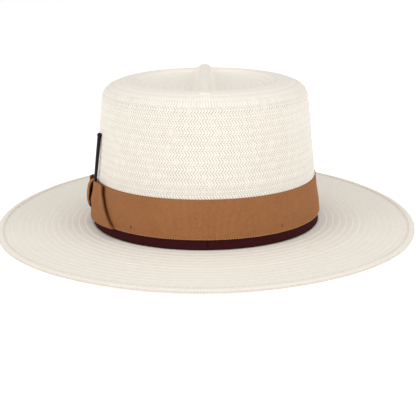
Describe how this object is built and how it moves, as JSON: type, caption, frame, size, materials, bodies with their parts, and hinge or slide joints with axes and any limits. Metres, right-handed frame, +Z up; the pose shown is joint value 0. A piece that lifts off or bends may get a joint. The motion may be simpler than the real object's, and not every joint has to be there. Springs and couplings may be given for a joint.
{
  "type": "straw boater hat",
  "caption": "Woven straw hat with a tall telescope crown, a wide flat brim, a two-ribbon band, a flat side bow and a slim trim stick.",
  "frame": {"origin": "on the resting plane, under the middle of the brim's outline", "axes": "+Z up, +Y to the front of the hat, +X to the wearer's right"},
  "size_m": [0.3174, 0.35, 0.1143],
  "materials": {
    "straw": "sewn paper-straw braid, cream, matt",
    "camel_ribbon": "camel grosgrain ribbon, ribbed, soft sheen",
    "burgundy_ribbon": "burgundy grosgrain ribbon, ribbed",
    "black_wood": "thin wooden stick, stained black, satin"
  },
  "bodies": {
    "root": {"brim": "straw", "crown_side": "straw", "crown_tip": "straw", "under_band": "burgundy_ribbon", "hat_band": "camel_ribbon", "bow_wing_back": "camel_ribbon", "bow_wing_front": "camel_ribbon", "bow_knot": "camel_ribbon", "trim_stick": "black_wood"}
  },
  "joints": []
}
